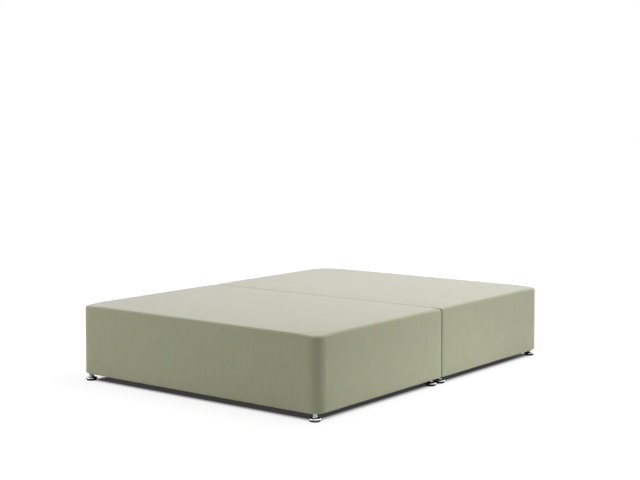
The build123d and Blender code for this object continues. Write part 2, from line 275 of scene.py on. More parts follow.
def cut(mesh, axis, level, geometry=None, **clear):
    """Cuts the mesh, or some of its geometry, along a plane across an axis."""
    normal = Vector((axis == 0, axis == 1, axis == 2))
    bmesh.ops.bisect_plane(
        mesh, geom=geometry or mesh.verts[:] + mesh.edges[:] + mesh.faces[:], dist=TOUCH / 10,
        plane_co=normal * level, plane_no=normal, **clear,
    )


def chop(mesh, step, axes=(0, 1, 2)):
    """Cuts the mesh along a grid of planes, so that its flat faces can bend."""
    for axis in axes:
        ends = [vert.co[axis] for vert in mesh.verts]
        low, high = min(ends), max(ends)
        count = max(round((high - low) / step), 1)
        for i in range(1, count):
            cut(mesh, axis, low + (high - low) * i / count)


def split_and_end(half, low, high):
    """Where a half's split face and its outer end lie along Y, of the ends of its box."""
    return (high[1], low[1]) if half == "foot" else (low[1], high[1])


def padded_block(half, inset):
    """The rounded body of one half, set in from the outside of its cover."""
    sizes = bpy.context.scene.divan_upholstery
    low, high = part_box(f"{half}_cover")
    low = Vector(low) + Vector((inset, inset, inset))
    high = Vector(high) - Vector((inset, inset, inset))
    split_y, end_y = split_and_end(half, low, high)
    block = bmesh.new()
    bmesh.ops.create_cube(block, size=1)
    bmesh.ops.scale(block, vec=high - low, verts=block.verts)
    bmesh.ops.translate(block, vec=(low + high) / 2, verts=block.verts)
    upright = edges_at(block, 1, end_y, edges_along(block, 2))
    bevel(block, upright, sizes.corner_radius - inset, segments=10)
    upright = edges_at(block, 1, split_y, edges_along(block, 2))
    bevel(block, upright, sizes.split_radius - inset, segments=6)
    bevel(block, edges_at(block, 2, high.z), sizes.top_radius - inset, segments=6)
    bevel(block, edges_at(block, 2, low.z), sizes.bottom_radius - inset, segments=4)
    return block


def eased(share):
    """A share from 0 to 1 with a soft start and end."""
    share = min(max(share, 0), 1)
    return share * share * (3 - 2 * share)


def sink_edges(verts, half):
    """Lowers the padded top, and the sides just under it, at its corners and along the split."""
    sizes = bpy.context.scene.divan_upholstery
    low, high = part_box(f"{half}_cover")
    split_y, end_y = split_and_end(half, low, high)
    corners = [
        (side, end_y, sizes.corner_droop, sizes.droop_reach, sizes.droop_depth)
        for side in (low[0], high[0])
    ]
    if half == "foot":
        corners.append((high[0], split_y, sizes.split_droop, sizes.split_reach, sizes.split_reach))
    for corner_x, corner_y, droop, reach, depth in corners:
        for vert in verts:
            away = Vector((corner_x - vert.co.x, vert.co.y - corner_y)).length
            raised = eased(1 - (high[2] - vert.co.z) / depth)
            vert.co.z -= droop * eased(1 - away / reach) * raised
    for vert in verts:
        beside = 1 - abs(vert.co.y - split_y) / sizes.droop_reach
        raised = eased(1 - (high[2] - vert.co.z) / sizes.droop_depth)
        vert.co.z -= sizes.split_sink * eased(beside) * raised


def tighten_split(verts, half):
    """Gives the top edge along the split a smaller radius than at the outside."""
    sizes = bpy.context.scene.divan_upholstery
    low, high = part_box(f"{half}_cover")
    split_y, _ = split_and_end(half, low, high)
    for vert in verts:
        inwards = vert.co.y - split_y
        below = high[2] - vert.co.z
        if max(abs(inwards), below) < sizes.top_radius + TOUCH:
            along = high[0] - abs(vert.co.x) - sizes.panel_step
            share = eased(along / sizes.panel_step)
            scale = 1 + (sizes.split_edge / sizes.top_radius - 1) * share
            vert.co.y = split_y + inwards * scale
            vert.co.z = high[2] - below * scale


def open_underside(block, half, edge):
    """Opens the block's bottom face, all but an edge that turns in underneath."""
    low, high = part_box(f"{half}_cover")
    lines = [(axis, level) for axis in (0, 1) for level in (low[axis] + edge, high[axis] - edge)]
    bottom = min(vert.co.z for vert in block.verts)
    for axis, level in lines:
        under = [face for face in block.faces if abs(face.calc_center_median().z - bottom) < TOUCH]
        parts = {part for face in under for part in (*face.verts, *face.edges, face)}
        cut(block, axis, level, list(parts))
    inside = [
        face
        for face in block.faces
        if abs(face.calc_center_median().z - bottom) < TOUCH
        and low[0] + edge < face.calc_center_median().x < high[0] - edge
        and low[1] + edge < face.calc_center_median().y < high[1] - edge
    ]
    bmesh.ops.delete(block, geom=inside, context="FACES")


def turned(place, points):
    """A closed form turned about an upright axis from (radius, height, rounding) points."""
    form = bmesh.new()
    outline = [form.verts.new((place.x + radius, place.y, height)) for radius, height, _ in points]
    for start, end in zip(outline, outline[1:]):
        form.edges.new((start, end))
    for vert, (_, _, rounding) in zip(outline, points):
        if rounding:
            bevel(form, [vert], rounding, segments=5, affect="VERTICES")
    bmesh.ops.spin(
        form, geom=form.verts[:] + form.edges[:], cent=place, axis=(0, 0, 1), dvec=(0, 0, 0),
        angle=2 * pi, steps=TURN_STEPS, use_merge=True,
    )
    bmesh.ops.remove_doubles(form, verts=form.verts, dist=TOUCH)
    return form


def headboard_places(y):
    """The middles of the headboard holes, on a plane across the length."""
    return [
        Vector((mount["pos_m"][0], y, mount["pos_m"][2]))
        for mount in frame["record"]["mounts"]
        if mount["name"].startswith("headboard_hole")
    ]


def rods(spots, radius, reach, axis):
    """Rods along an axis at given spots, to cut holes with."""
    turn = Matrix.Rotation(pi / 2, 4, "X") if axis == 1 else Matrix.Identity(4)
    form = bmesh.new()
    for spot in spots:
        bmesh.ops.create_cone(
            form, cap_ends=True, segments=HOLE_STEPS, radius1=radius, radius2=radius, depth=reach,
            matrix=Matrix.Translation(spot) @ turn,
        )
    return form


def new_piece(name, form, material, sharp=None):
    """Makes an object of a bmesh, with its normals outwards and its finish."""
    bmesh.ops.recalc_face_normals(form, faces=form.faces)
    mesh = bpy.data.meshes.new(name)
    form.to_mesh(mesh)
    form.free()
    mesh.shade_smooth()
    if sharp:
        mesh.set_sharp_from_angle(angle=sharp)
    mesh.materials.append(material)
    piece = bpy.data.objects.new(name, mesh)
    bpy.context.scene.collection.objects.link(piece)
    return piece


def apply_modifiers(piece):
    """Makes the piece's modifiers part of its mesh."""
    graph = bpy.context.evaluated_depsgraph_get()
    rough = piece.data
    piece.data = bpy.data.meshes.new_from_object(piece.evaluated_get(graph))
    piece.data.name = piece.name
    piece.modifiers.clear()
    bpy.data.meshes.remove(rough)


def thicken(piece, thickness):
    """Gives a surface its thickness, inwards, with smooth faces between."""
    wall = piece.modifiers.new("Thickness", "SOLIDIFY")
    wall.thickness = thickness
    wall.offset = -1
    apply_modifiers(piece)


def pierce(piece, form):
    """Cuts a form out of the piece and removes the form."""
    cutter = new_piece(f"{piece.name}_holes", form, piece.data.materials[0])
    holes = piece.modifiers.new("Holes", "BOOLEAN")
    holes.operation = "DIFFERENCE"
    holes.solver = "EXACT"
    holes.object = cutter
    apply_modifiers(piece)
    bpy.data.objects.remove(cutter)


def pierce_underside(piece, half, level):
    """Cuts the holes for a half's glides and for its link bolts or studs."""
    sizes = bpy.context.scene.divan_upholstery
    boxes = [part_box(name) for name in GLIDES if name.startswith(half)]
    spots = [Vector(((a[0] + b[0]) / 2, (a[1] + b[1]) / 2, level)) for a, b in boxes]
    pierce(piece, rods(spots, sizes.glide_hole, sizes.return_width, 2))
    joints = {joint["name"]: joint for joint in frame["joints"]}
    pivots = [joints[f"link_bar_{name}_swing"]["pos_m"] for name in ("left", "right")]
    side = 1 if half == "foot" else -1
    spots = [Vector((x, side * y, level)) for x, y, _ in pivots]
    pierce(piece, rods(spots, sizes.link_hole, sizes.return_width, 2))


def swell(piece, free, reach):
    """Lets a cover's flat faces swell as cloth, each point where it is free, and to a reach."""
    sizes = bpy.context.scene.divan_upholstery
    group = piece.vertex_groups.new(name="tied")
    tied = [
        vert.index
        for vert in piece.data.vertices
        if max(map(abs, vert.normal)) < FLAT or not free(vert.co)
    ]
    group.add(tied, 1, "REPLACE")
    cloth = piece.modifiers.new("Cloth", "CLOTH")
    cloth.settings.vertex_group_mass = group.name
    cloth.settings.use_pressure = True
    cloth.settings.uniform_pressure_force = sizes.cloth_pressure
    cloth.settings.effector_weights.gravity = 0
    cloth.collision_settings.use_collision = False
    cloth.point_cache.frame_end = sizes.cloth_frames
    for frame_number in range(1, sizes.cloth_frames + 1):
        bpy.context.scene.frame_set(frame_number)
    swollen = piece.evaluated_get(bpy.context.evaluated_depsgraph_get())
    moves = [
        moved.co - still.co
        for moved, still in zip(swollen.to_mesh().vertices, piece.data.vertices)
    ]
    swollen.to_mesh_clear()
    piece.modifiers.remove(cloth)
    bpy.context.scene.frame_set(1)
    normals = [vert.normal.copy() for vert in piece.data.vertices]
    for vert, move, outwards in zip(piece.data.vertices, moves, normals):
        change = SWELL_CHANGE * noise.noise(vert.co * SWELL_PATCHES)
        most = reach * (1 - SWELL_CHANGE + change)
        vert.co += outwards * min(max(move.dot(outwards), 0), most)
    piece.vertex_groups.clear()


def finish_piece(piece, body, slot, *nodes):
    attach(piece, body)
    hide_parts(*nodes)


# Finishes


def set_inputs(tree, node, inputs):
    """Sets or links a node's inputs, by name or number."""
    for name, value in inputs.items():
        if isinstance(value, NodeSocket):
            tree.links.new(value, node.inputs[name])
        else:
            node.inputs[name].default_value = value


def add_node(tree, kind, inputs, **settings):
    node = tree.nodes.new(kind)
    for name, value in settings.items():
        setattr(node, name, value)
    set_inputs(tree, node, inputs)
    return node


def math_node(tree, operation, *values):
    node = add_node(tree, "ShaderNodeMath", dict(enumerate(values)), operation=operation)
    return node.outputs[0]


def scaled(tree, vector, scale):
    """A vector or a colour, times one number."""
    inputs = {0: vector, "Scale": scale}
    return add_node(tree, "ShaderNodeVectorMath", inputs, operation="SCALE").outputs[0]


def multiplied(tree, vector, factors):
    """A vector or a colour, each part times its own number."""
    inputs = {0: vector, 1: factors}
    return add_node(tree, "ShaderNodeVectorMath", inputs, operation="MULTIPLY").outputs[0]


def noise_node(tree, place, density, detail, **more):
    inputs = {"Vector": place, "Scale": density, "Detail": detail, **more}
    return add_node(tree, "ShaderNodeTexNoise", inputs).outputs["Fac"]


def mix_colours(tree, factor, low, high):
    """A colour between two, by a factor. Sockets 0, 6 and 7 are the factor and the colours."""
    inputs = {0: factor, 6: low, 7: high}
    return add_node(tree, "ShaderNodeMix", inputs, data_type="RGBA").outputs[2]


def between(tree, value, low, high, new_low, new_high):
    """A value between two ends, moved to between two others and held there."""
    inputs = {"Value": value, 1: low, 2: high, 3: new_low, 4: new_high}
    return add_node(tree, "ShaderNodeMapRange", inputs).outputs[0]


def rgba(shade):
    return (*shade, 1)


def object_coords(tree, turn=(0, 0, 0)):
    """A place in the object's own frame, turned where a pattern follows another axis."""
    coords = add_node(tree, "ShaderNodeTexCoord", {}).outputs["Object"]
    if not any(turn):
        return coords
    return add_node(tree, "ShaderNodeMapping", {"Vector": coords, "Rotation": turn}).outputs[0]


def effect(name, inputs, outputs):
    """A new node group, its tree, and the sockets inside it that carry its inputs and outputs."""
    tree = bpy.data.node_groups.new(name, "ShaderNodeTree")
    for label, kind, default in inputs:
        socket = tree.interface.new_socket(label, in_out="INPUT", socket_type=f"NodeSocket{kind}")
        if default is not None:
            socket.default_value = default
    for label, kind in outputs:
        tree.interface.new_socket(label, in_out="OUTPUT", socket_type=f"NodeSocket{kind}")
    entry = tree.nodes.new("NodeGroupInput")
    result = tree.nodes.new("NodeGroupOutput")
    return tree, entry.outputs, result.inputs


def use_effect(tree, name, inputs):
    """Places a shared effect in a material, and returns its outputs."""
    group = bpy.data.node_groups.get(name) or EFFECTS[name](name)
    return add_node(tree, "ShaderNodeGroup", inputs, node_tree=group).outputs


def mottle_effect(name):
    """Soft patches in which a colour is a little lighter or darker."""
    inputs = [
        ("Place", "Vector", None), ("Color", "Color", rgba((0.5, 0.5, 0.5))),
        ("Patches per metre", "Float", 10), ("Amount", "Float", 0.05),
    ]
    tree, given, result = effect(name, inputs, [("Color", "Color"), ("Value", "Float")])
    density = given["Patches per metre"]
    patches = noise_node(tree, given["Place"], density, 3.0, Roughness=0.55)
    darker = math_node(tree, "SUBTRACT", 1.0, given["Amount"])
    lighter = math_node(tree, "ADD", 1.0, given["Amount"])
    level = between(tree, patches, 0.3, 0.7, darker, lighter)
    tree.links.new(scaled(tree, given["Color"], level), result["Color"])
    tree.links.new(patches, result["Value"])
    return tree


def fibres_effect(name):
    """Short fibres in all directions, as a mask and as a height."""
    inputs = [
        ("Place", "Vector", None), ("Fibres per metre", "Float", 600),
        ("Tufts per metre", "Float", 150),
    ]
    tree, given, result = effect(name, inputs, [("Mask", "Float"), ("Height", "Float")])
    density = given["Fibres per metre"]
    fine = noise_node(tree, given["Place"], density, 2.0, Roughness=0.7, Distortion=0.6)
    tufts = add_node(tree, "ShaderNodeTexVoronoi", {
        "Vector": given["Place"], "Scale": given["Tufts per metre"], "Randomness": 1.0,
    }).outputs["Distance"]
    height = math_node(tree, "MULTIPLY_ADD", tufts, 0.4, fine)
    tree.links.new(between(tree, fine, 0.35, 0.65, 0.0, 1.0), result["Mask"])
    tree.links.new(height, result["Height"])
    return tree


def grain_effect(name):
    """Wood grain along X: long rings with fine pores."""
    inputs = [("Place", "Vector", None), ("Rings per metre", "Float", 60)]
    tree, given, result = effect(name, inputs, [("Rings", "Float"), ("Height", "Float")])
    drawn_out = multiplied(tree, given["Place"], (0.06, 1, 1))
    rings = noise_node(tree, drawn_out, given["Rings per metre"], 2.0, Distortion=1.2)
    pores = noise_node(tree, drawn_out, 1400.0, 1.0)
    tree.links.new(between(tree, rings, 0.4, 0.65, 0.0, 1.0), result["Rings"])
    tree.links.new(math_node(tree, "MULTIPLY_ADD", pores, 0.5, rings), result["Height"])
    return tree


def handling_effect(name):
    """Faint smears and scuffs, as a roughness between two values."""
    inputs = [
        ("Place", "Vector", None), ("Smears per metre", "Float", 80),
        ("Clean", "Float", 0.1), ("Handled", "Float", 0.25),
    ]
    tree, given, result = effect(name, inputs, [("Roughness", "Float")])
    density = given["Smears per metre"]
    smears = noise_node(tree, given["Place"], density, 4.0, Distortion=0.8)
    level = between(tree, smears, 0.45, 0.7, given["Clean"], given["Handled"])
    tree.links.new(level, result["Roughness"])
    return tree


EFFECTS = {
    "Mottle": mottle_effect,
    "Fibres": fibres_effect,
    "Wood grain": grain_effect,
    "Handling": handling_effect,
}


def new_finish(name):
    """A material with an empty node tree and its Principled shader joined to the output."""
    material = bpy.data.materials.new(name)
    material.use_nodes = True
    tree = material.node_tree
    tree.nodes.clear()
    shader = tree.nodes.new("ShaderNodeBsdfPrincipled")
    output = tree.nodes.new("ShaderNodeOutputMaterial")
    tree.links.new(shader.outputs[0], output.inputs["Surface"])
    return material, tree, shader


def set_bump(tree, shader, height, strength, distance):
    inputs = {"Height": height, "Strength": strength, "Distance": distance}
    bump = add_node(tree, "ShaderNodeBump", inputs)
    tree.links.new(bump.outputs[0], shader.inputs["Normal"])


def plush_finish(shade):
    """Short dense pile with faint patches, brushed streaks, a pale sheen at low angles, and painted shade in the
    groove of the split on the sides.
    """
    material, tree, shader = new_finish("Sage plush")
    place = object_coords(tree)
    tinted = shade
    for density, change in HUE_PATCHES:
        spread = use_effect(tree, "Mottle", {"Place": place, "Patches per metre": density})
        leaning = [rgba([1 + side * part for part in change]) for side in (-1, 1)]
        lean = mix_colours(tree, between(tree, spread["Value"], 0.35, 0.65, 0.0, 1.0), *leaning)
        tinted = multiplied(tree, tinted, lean)
    patches = use_effect(tree, "Mottle", {
        "Place": place, "Color": tinted, "Patches per metre": 11.0, "Amount": 0.018,
    })
    brushed_up = multiplied(tree, place, (1, 1, 0.12))
    streaks = use_effect(tree, "Mottle", {
        "Place": brushed_up, "Color": patches["Color"], "Patches per metre": 95.0,
        "Amount": 0.034,
    })
    pile = use_effect(tree, "Fibres", {
        "Place": place, "Fibres per metre": 1100.0, "Tufts per metre": 420.0,
    })
    # Painted shade: the pile's colour is darker close to the split on the sides, in the groove where shade falls
    apart = add_node(tree, "ShaderNodeSeparateXYZ", {0: place}).outputs
    across, along = (math_node(tree, "ABSOLUTE", part) for part in apart[:2])
    start, end = (CAD_BOX[1][0] - reach for reach in PAINTED_GROOVE_REACH)
    painted_groove_shade = math_node(
        tree, "MULTIPLY", between(tree, along, *PAINTED_GROOVE_FADE, 1.0, 0.0),
        between(tree, across, start, end, 0.0, PAINTED_GROOVE_SHADE),
    )
    # pressed holds the streaked colour with the painted shade of the groove on it
    pressed = scaled(tree, streaks["Color"], math_node(tree, "SUBTRACT", 1.0, painted_groove_shade))
    deep = scaled(tree, pressed, 0.86)
    set_inputs(tree, shader, {
        "Base Color": mix_colours(tree, pile["Mask"], deep, pressed),
        "Roughness": 0.92,
        "Specular IOR Level": 0.15,
        "Sheen Weight": 0.9,
        "Sheen Roughness": 0.35,
        "Sheen Tint": rgba((0.88, 0.86, 0.9)),
    })
    set_bump(tree, shader, pile["Height"], 0.35, 0.0008)
    return material


def wadding_finish(shade):
    """White polyester wadding: soft clumps of fluff."""
    material, tree, shader = new_finish("Polyester wadding")
    place = object_coords(tree)
    clumps = use_effect(tree, "Mottle", {
        "Place": place, "Color": rgba(shade), "Patches per metre": 45.0, "Amount": 0.06,
    })
    fluff = use_effect(tree, "Fibres", {
        "Place": place, "Fibres per metre": 500.0, "Tufts per metre": 90.0,
    })
    set_inputs(tree, shader, {
        "Base Color": clumps["Color"], "Roughness": 0.95, "Sheen Weight": 0.4,
    })
    set_bump(tree, shader, fluff["Height"], 0.6, 0.002)
    return material


def dust_cloth_finish(shade):
    """Black non-woven cloth: pressed fibres with small bonded dots."""
    material, tree, shader = new_finish("Non-woven dust cloth")
    place = object_coords(tree)
    fibres = use_effect(tree, "Fibres", {
        "Place": place, "Fibres per metre": 900.0, "Tufts per metre": 260.0,
    })
    dots = add_node(tree, "ShaderNodeTexVoronoi", {
        "Vector": place, "Scale": 420.0, "Randomness": 0.15,
    }).outputs["Distance"]
    pressed = between(tree, dots, 0.12, 0.3, 0.0, 1.0)
    pale = tuple(2.6 * part for part in shade)
    set_inputs(tree, shader, {
        "Base Color": mix_colours(tree, fibres["Mask"], rgba(shade), rgba(pale)),
        "Roughness": between(tree, pressed, 0.0, 1.0, 0.55, 0.85),
    })
    height = math_node(tree, "MULTIPLY_ADD", fibres["Height"], 0.4, pressed)
    set_bump(tree, shader, height, 0.5, 0.0003)
    return material


def pine_finish(name, turn):
    """Sawn pine with its grain along one axis."""
    shades = bpy.context.scene.divan_timber
    material, tree, shader = new_finish(name)
    place = object_coords(tree, turn)
    grain = use_effect(tree, "Wood grain", {"Place": place, "Rings per metre": 55.0})
    wood = mix_colours(
        tree, grain["Rings"], rgba(shades.pine_colour), rgba(shades.pine_ring_colour)
    )
    patches = use_effect(tree, "Mottle", {
        "Place": place, "Color": wood, "Patches per metre": 6.0, "Amount": 0.08,
    })
    set_inputs(tree, shader, {
        "Base Color": patches["Color"],
        "Roughness": between(tree, grain["Rings"], 0.0, 1.0, 0.75, 0.6),
    })
    set_bump(tree, shader, grain["Height"], 0.3, 0.0005)
    return material


def hardboard_finish(shade):
    """Pressed brown board with fine dark and pale fibres."""
    material, tree, shader = new_finish("Hardboard")
    place = object_coords(tree)
    patches = use_effect(tree, "Mottle", {
        "Place": place, "Color": rgba(shade), "Patches per metre": 14.0, "Amount": 0.12,
    })
    fibres = use_effect(tree, "Fibres", {
        "Place": place, "Fibres per metre": 420.0, "Tufts per metre": 200.0,
    })
    pale = tuple(1.5 * part for part in shade)
    flecks = math_node(tree, "MULTIPLY", fibres["Mask"], 0.5)
    smears = use_effect(tree, "Handling", {"Place": place, "Clean": 0.5, "Handled": 0.7})
    set_inputs(tree, shader, {
        "Base Color": mix_colours(tree, flecks, patches["Color"], rgba(pale)),
        "Roughness": smears["Roughness"],
    })
    set_bump(tree, shader, fibres["Height"], 0.2, 0.0003)
    return material


def zinc_finish(shade):
    """Bright zinc plate with soft crystals and light scuffs."""
    material, tree, shader = new_finish("Zinc plate")
    place = object_coords(tree)
    crystals = use_effect(tree, "Mottle", {
        "Place": place, "Color": rgba(shade), "Patches per metre": 160.0, "Amount": 0.1,
    })
    scuffs = use_effect(tree, "Handling", {
        "Place": place, "Smears per metre": 120.0, "Clean": 0.28, "Handled": 0.5,
    })
    set_inputs(tree, shader, {
        "Base Color": crystals["Color"], "Roughness": scuffs["Roughness"], "Metallic": 1.0,
    })
    set_bump(tree, shader, crystals["Value"], 0.1, 0.0003)
    return material


def chrome_finish(shade):
    """Bright chrome plate with faint smears."""
    material, tree, shader = new_finish("Chrome plate")
    place = object_coords(tree)
    plate = use_effect(tree, "Mottle", {
        "Place": place, "Color": rgba(shade), "Patches per metre": 60.0, "Amount": 0.03,
    })
    smears = use_effect(tree, "Handling", {
        "Place": place, "Smears per metre": 90.0, "Clean": 0.07, "Handled": 0.16,
    })
    set_inputs(tree, shader, {
        "Base Color": plate["Color"], "Roughness": smears["Roughness"], "Metallic": 1.0,
    })
    return material


def plastic_finish(shade):
    """Matt black nylon with a fine moulded grain and scuffs from the floor."""
    material, tree, shader = new_finish("Black nylon")
    place = object_coords(tree)
    specks = use_effect(tree, "Mottle", {
        "Place": place, "Color": rgba(shade), "Patches per metre": 240.0, "Amount": 0.2,
    })
    scuffs = use_effect(tree, "Handling", {
        "Place": place, "Smears per metre": 150.0, "Clean": 0.45, "Handled": 0.65,
    })
    set_inputs(tree, shader, {
        "Base Color": specks["Color"], "Roughness": scuffs["Roughness"],
    })
    set_bump(tree, shader, specks["Value"], 0.15, 0.0002)
    return material


def paint_node(name, material):
    """Gives a CAD node a finish."""
    for slot in frame["nodes"][name].material_slots:
        slot.material = material


# Operators, one for each piece or group of like pieces


class DIVAN_OT_covers(Operator):
    """Stretches the plush cover over each half, with its return and its holes"""

    bl_idname = "divan.covers"
    bl_label = "Plush covers"

    def execute(self, context):
        sizes = context.scene.divan_upholstery
        plush = plush_finish(sizes.plush_colour)
        for half in HALVES:
            low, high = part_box(f"{half}_cover")
            split_y, _ = split_and_end(half, low, high)
            tied_level = low[2] + sizes.bottom_radius
            block = padded_block(half, 0)
            open_underside(block, half, sizes.return_width)
            chop(block, sizes.panel_step)
            cover = new_piece(f"{half}_upholstery", block, plush)
            swell(
                cover,
                lambda co: co.z > tied_level and abs(co.y - split_y) > sizes.split_radius,
                sizes.crown,
            )
            sink_edges(cover.data.vertices, half)
            tighten_split(cover.data.vertices, half)
            smooth = cover.modifiers.new("Smooth", "SUBSURF")
            smooth.levels = smooth.render_levels = 1
            apply_modifiers(cover)
            thicken(cover, sizes.fabric)
            pierce_underside(cover, half, low[2])
            if half == "head":
                spots = headboard_places(high[1])
                pierce(cover, rods(spots, sizes.headboard_hole, sizes.return_width, 1))
            finish_piece(cover, f"{half}_half", "plush_fabric", f"{half}_cover")
        return {"FINISHED"}


class DIVAN_OT_wadding(Operator):
    """Lays the wadding under each cover: a pad on the top board and strips round the sides"""

    bl_idname = "divan.wadding"
    bl_label = "Wadding"

    def execute(self, context):
        sizes = context.scene.divan_upholstery
        wadding = wadding_finish(sizes.wadding_colour)
        inset = sizes.fabric + sizes.ease
        for half in HALVES:
            board_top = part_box(f"{half}_top_board")[1][2]
            pad = padded_block(half, inset)
            chop(pad, sizes.panel_step, (0, 1))
            sink_edges(pad.verts, half)
            cut(pad, 2, board_top, clear_inner=True)
            bmesh.ops.holes_fill(pad, edges=pad.edges, sides=0)
            top_pad = new_piece(f"{half}_top_wadding", pad, wadding, SOFT_CREASE)
            finish_piece(top_pad, f"{half}_half", "wadding", f"{half}_top_pad")

            low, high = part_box(f"{half}_border_wadding")
            strips = padded_block(half, inset)
            cut(strips, 2, board_top, clear_outer=True)
            cut(strips, 2, low[2] + inset, clear_inner=True)
            split_y, end_y = split_and_end(half, low, high)
            into = -1 if half == "foot" else 1
            lines = (split_y + into * sizes.split_radius, end_y - into * sizes.corner_radius)
            for line in lines:
                next_line = line + 2 * sizes.ease
                cut(strips, 1, line)
                cut(strips, 1, next_line)
                seam = [
                    face
                    for face in strips.faces
                    if line < face.calc_center_median().y < next_line
                ]
                bmesh.ops.delete(strips, geom=seam, context="FACES")
            chop(strips, 2 * sizes.panel_step)
            border = new_piece(f"{half}_side_wadding", strips, wadding, SOFT_CREASE)
            thicken(border, sizes.side_wadding - 2 * sizes.ease)
            if half == "head":
                spots = headboard_places(high[1])
                pierce(border, rods(spots, sizes.wadding_hole, sizes.return_width, 1))
            finish_piece(border, f"{half}_half", "wadding", f"{half}_border_wadding")
        return {"FINISHED"}


class DIVAN_OT_dust_covers(Operator):
    """Stretches the black dust cover under each half, with its holes"""

    bl_idname = "divan.dust_covers"
    bl_label = "Dust covers"

    def execute(self, context):
        sizes = context.scene.divan_upholstery
        cloth = dust_cloth_finish(sizes.cloth_colour)
        for half in HALVES:
            low, high = (Vector(corner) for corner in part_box(f"{half}_dust_cover"))
            middle = (low + high) / 2
            span = high - low
            side = 1 if half == "foot" else -1
            form = bmesh.new()
            bmesh.ops.create_grid(form, x_segments=1, y_segments=1, size=0.5)
            bmesh.ops.scale(form, vec=(span.x, span.y, 1), verts=form.verts)
            bmesh.ops.translate(form, vec=(middle.x, middle.y, high.z), verts=form.verts)
            outer = [vert for vert in form.verts if side * (vert.co.y - middle.y) < 0]
            bevel(form, outer, sizes.dust_corner, segments=8, affect="VERTICES")
            chop(form, sizes.panel_step, (0, 1))
            held = sizes.return_width
            for vert in form.verts:
                across = (vert.co.x - low.x - held) / (span.x - 2 * held)
                along = (vert.co.y - low.y - held) / (span.y - 2 * held)
                if 0 < across < 1 and 0 < along < 1:
                    drop = (sin(pi * across) * sin(pi * along)) ** 2
                    change = SAG_CHANGE * noise.noise(vert.co * SAG_PATCHES)
                    vert.co.z -= sizes.dust_sag * drop * (1 + change)
            sheet = new_piece(f"{half}_dust_sheet", form, cloth)
            if sheet.data.polygons[0].normal.z < 0:
                sheet.data.flip_normals()
            thicken(sheet, sizes.dust_cloth)
            pierce_underside(sheet, half, low.z)
            finish_piece(sheet, f"{half}_half", "dust_cloth", f"{half}_dust_cover")
        return {"FINISHED"}


class DIVAN_OT_glides(Operator):
    """Turns the chrome caps with their necks and threads, and the dark pads under them"""

    bl_idname = "divan.glides"
    bl_label = "Glides"

    def execute(self, context):
        sizes = context.scene.divan_glides
        chrome = chrome_finish(sizes.chrome_colour)
        plastic = plastic_finish(sizes.plastic_colour)
        for name in GLIDES:
            low, high = (Vector(corner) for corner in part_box(name))
            axis = Vector(((low.x + high.x) / 2, (low.y + high.y) / 2, 0))
            rim = (high.x - low.x) / 2
            rim_top = low.z + sizes.rim_height
            neck_foot = rim_top + sizes.dome_rise
            neck_top = high.z - sizes.thread_length
            recess = low.z + sizes.plug_height
            cap = turned(axis, [
                (0, recess, 0),
                (sizes.plug_radius, recess, 0),
                (sizes.plug_radius, low.z, 0),
                (rim, low.z, sizes.rim_round),
                (rim, rim_top, sizes.rim_round),
                (sizes.neck_radius, neck_foot, sizes.neck_flare),
                (sizes.neck_radius, neck_top, sizes.neck_edge),
                (sizes.thread_radius, neck_top, 0),
                (sizes.thread_radius, high.z, sizes.neck_edge),
                (0, high.z, 0),
            ])
            piece = new_piece(f"{name}_cap", cap, chrome, HARD_CREASE)
            finish_piece(piece, name, "chrome", name)

            grooves = []
            radius = sizes.groove_spacing
            while radius + sizes.groove_spacing < sizes.pad_radius:
                grooves += [
                    (radius, 0, 0),
                    (radius, sizes.groove_depth, 0),
                    (radius + sizes.groove_width, sizes.groove_depth, 0),
                    (radius + sizes.groove_width, 0, 0),
                ]
                radius += sizes.groove_spacing
            pad = turned(axis, [
                (0, 0, 0),
                *grooves,
                (sizes.pad_radius, 0, sizes.pad_edge),
                (sizes.pad_radius, low.z, 0),
                (sizes.plug_radius, low.z, 0),
                (sizes.plug_radius, recess, 0),
                (0, recess, 0),
            ])
            node = name.replace("glide_", "glide_pad_")
            piece = new_piece(f"{node}_moulding", pad, plastic, HARD_CREASE)
            finish_piece(piece, name, "black_plastic", node)
        return {"FINISHED"}


class DIVAN_OT_timber(Operator):
    """Finishes the pine frame and the hardboard on it"""

    bl_idname = "divan.timber"
    bl_label = "Timber and boards"

    def execute(self, context):
        across = pine_finish("Pine across", (0, 0, 0))
        lengthwise = pine_finish("Pine lengthwise", (0, 0, pi / 2))
        upright = pine_finish("Pine upright", (0, pi / 2, 0))
        hardboard = hardboard_finish(context.scene.divan_timber.board_colour)
        finishes = {
            "bottom_end_rail": across,
            "bottom_link_rail": across,
            "top_end_rail": across,
            "top_link_rail": across,
            "centre_bearer": across,
            "side_rails": lengthwise,
            "joists": lengthwise,
            "bottom_cross_rail": lengthwise,
            "corner_posts": upright,
            "stiles": upright,
            "top_board": hardboard,
            "side_boards": hardboard,
            "end_boards": hardboard,
        }
        for half in HALVES:
            for name, finish in finishes.items():
                paint_node(f"{half}_{name}", finish)
        return {"FINISHED"}


class DIVAN_OT_fixings(Operator):
    """Finishes the nuts, staples, link bars, bolts and studs in zinc plate"""

    bl_idname = "divan.fixings"
    bl_label = "Fixings"

    def execute(self, context):
        zinc = zinc_finish(context.scene.divan_timber.zinc_colour)
        fixings = ("nuts", "staples", "bolts", "studs", "bar_left", "bar_right")
        for name in frame["nodes"]:
            if name.endswith(fixings):
                paint_node(name, zinc)
        return {"FINISHED"}


